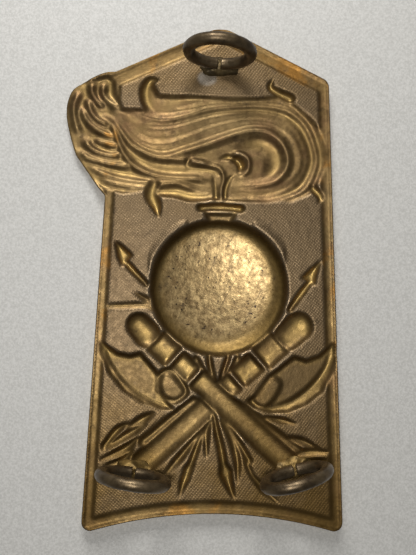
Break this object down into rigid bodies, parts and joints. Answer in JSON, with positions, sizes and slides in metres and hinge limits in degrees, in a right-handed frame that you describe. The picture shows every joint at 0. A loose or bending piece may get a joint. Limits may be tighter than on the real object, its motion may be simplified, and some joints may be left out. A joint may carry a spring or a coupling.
{
  "type": "cap badge",
  "caption": "Die-struck hollow-backed brass plate badge, gabled and tapering, with a ball, flame and crossed axes in relief and wire loops soldered to its back.",
  "frame": {"origin": "on the badge's centre line, in the plane of the flat border's back, near the middle of its height", "axes": "+Z toward the badge's peak, -Y toward the decorated front, +Y toward the hollow back and its loops, +X to the right as seen from the front"},
  "size_m": [0.0374, 0.0131, 0.0665],
  "materials": {
    "struck_brass": "aged, dull brown patina with golden recesses",
    "wire_brass": "dark patinated satin wire",
    "solder": "dull lumpy solder"
  },
  "bodies": {
    "root": {"plate": "struck_brass", "top_loop": "wire_brass", "top_solder_upper": "solder", "top_solder_lower": "solder", "lower_left_loop": "wire_brass", "lower_left_solder_upper": "solder", "lower_left_solder_lower": "solder", "lower_right_loop": "wire_brass", "lower_right_solder_upper": "solder", "lower_right_solder_lower": "solder"}
  },
  "joints": []
}
